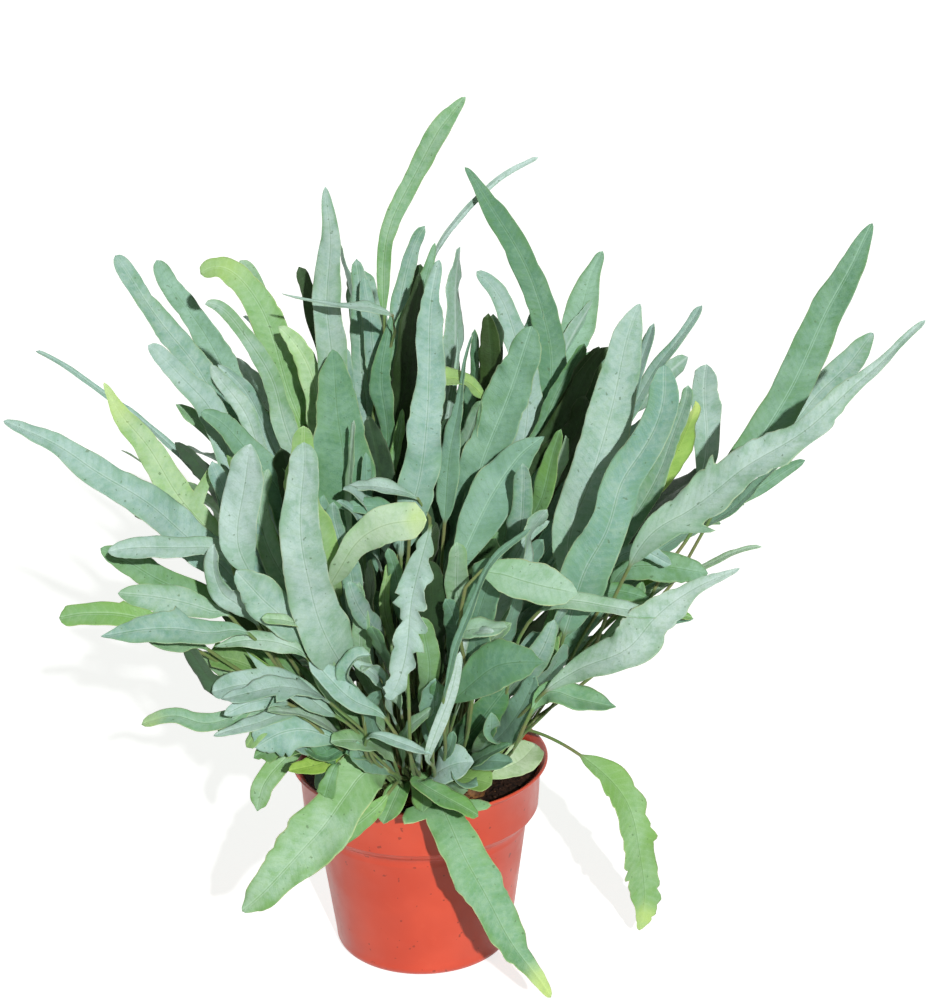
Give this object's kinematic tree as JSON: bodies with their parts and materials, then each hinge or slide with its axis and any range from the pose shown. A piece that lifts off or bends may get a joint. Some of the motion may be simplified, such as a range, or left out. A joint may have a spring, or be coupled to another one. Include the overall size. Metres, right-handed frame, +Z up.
{
  "type": "potted blue star fern",
  "caption": "Blue star fern with strap-shaped, partly lobed blue-green fronds rising from creeping rhizomes in a round terracotta-coloured plastic nursery pot.",
  "frame": {"origin": "middle of the pot's underside, on the surface it stands on", "axes": "+Z up along the pot's axis, +X to the right and -Y toward the front of the plant"},
  "size_m": [0.394, 0.2915, 0.3986],
  "materials": {
    "pot_plastic": "semi-gloss terracotta-coloured moulded plastic",
    "potting_soil": "dark, damp peaty potting mix",
    "rhizome": "golden-brown hairy scales",
    "frond_glaucous": "pale blue-green, waxy and matt",
    "frond_green": "mid green, slightly waxy",
    "frond_young": "yellow-green young leaf"
  },
  "bodies": {
    "root": {"pot": "pot_plastic", "soil": "potting_soil", "rhizome_front": "rhizome", "rhizome_middle": "rhizome", "rhizome_rear": "rhizome", "rhizome_back": "rhizome", "frond_top_1": "frond_glaucous", "frond_top_2": "frond_glaucous", "frond_top_3": "frond_glaucous", "frond_top_4": "frond_glaucous", "frond_top_5": "frond_green", "frond_top_6": "frond_glaucous", "frond_top_7": "frond_glaucous", "frond_top_8": "frond_green", "frond_top_9": "frond_green", "frond_top_10": "frond_glaucous", "frond_left_1": "frond_glaucous", "frond_left_2": "frond_green", "frond_left_3": "frond_young", "frond_left_4": "frond_young", "frond_left_5": "frond_glaucous", "frond_left_6": "frond_glaucous", "frond_left_7": "frond_young", "frond_left_8": "frond_glaucous", "frond_left_9": "frond_glaucous", "frond_left_10": "frond_green", "frond_left_11": "frond_glaucous", "frond_left_12": "frond_glaucous", "frond_left_13": "frond_glaucous", "frond_left_14": "frond_glaucous", "frond_low_1": "frond_green", "frond_low_2": "frond_glaucous", "frond_low_3": "frond_young", "frond_low_4": "frond_glaucous", "frond_low_5": "frond_glaucous", "frond_low_6": "frond_green", "frond_low_7": "frond_glaucous", "frond_low_8": "frond_glaucous", "frond_low_9": "frond_young", "frond_heart_1": "frond_young", "frond_heart_2": "frond_glaucous", "frond_heart_3": "frond_glaucous", "frond_heart_4": "frond_green", "frond_heart_5": "frond_glaucous", "frond_heart_6": "frond_glaucous", "frond_heart_7": "frond_glaucous", "frond_right_1": "frond_glaucous", "frond_right_2": "frond_glaucous", "frond_right_3": "frond_glaucous", "frond_right_4": "frond_glaucous", "frond_right_5": "frond_glaucous", "frond_right_6": "frond_glaucous", "frond_right_7": "frond_glaucous", "frond_right_8": "frond_young", "frond_right_9": "frond_glaucous", "frond_rear_1": "frond_glaucous", "frond_rear_2": "frond_glaucous", "frond_rear_3": "frond_glaucous", "frond_rear_4": "frond_green", "frond_rear_5": "frond_green"}
  },
  "joints": []
}
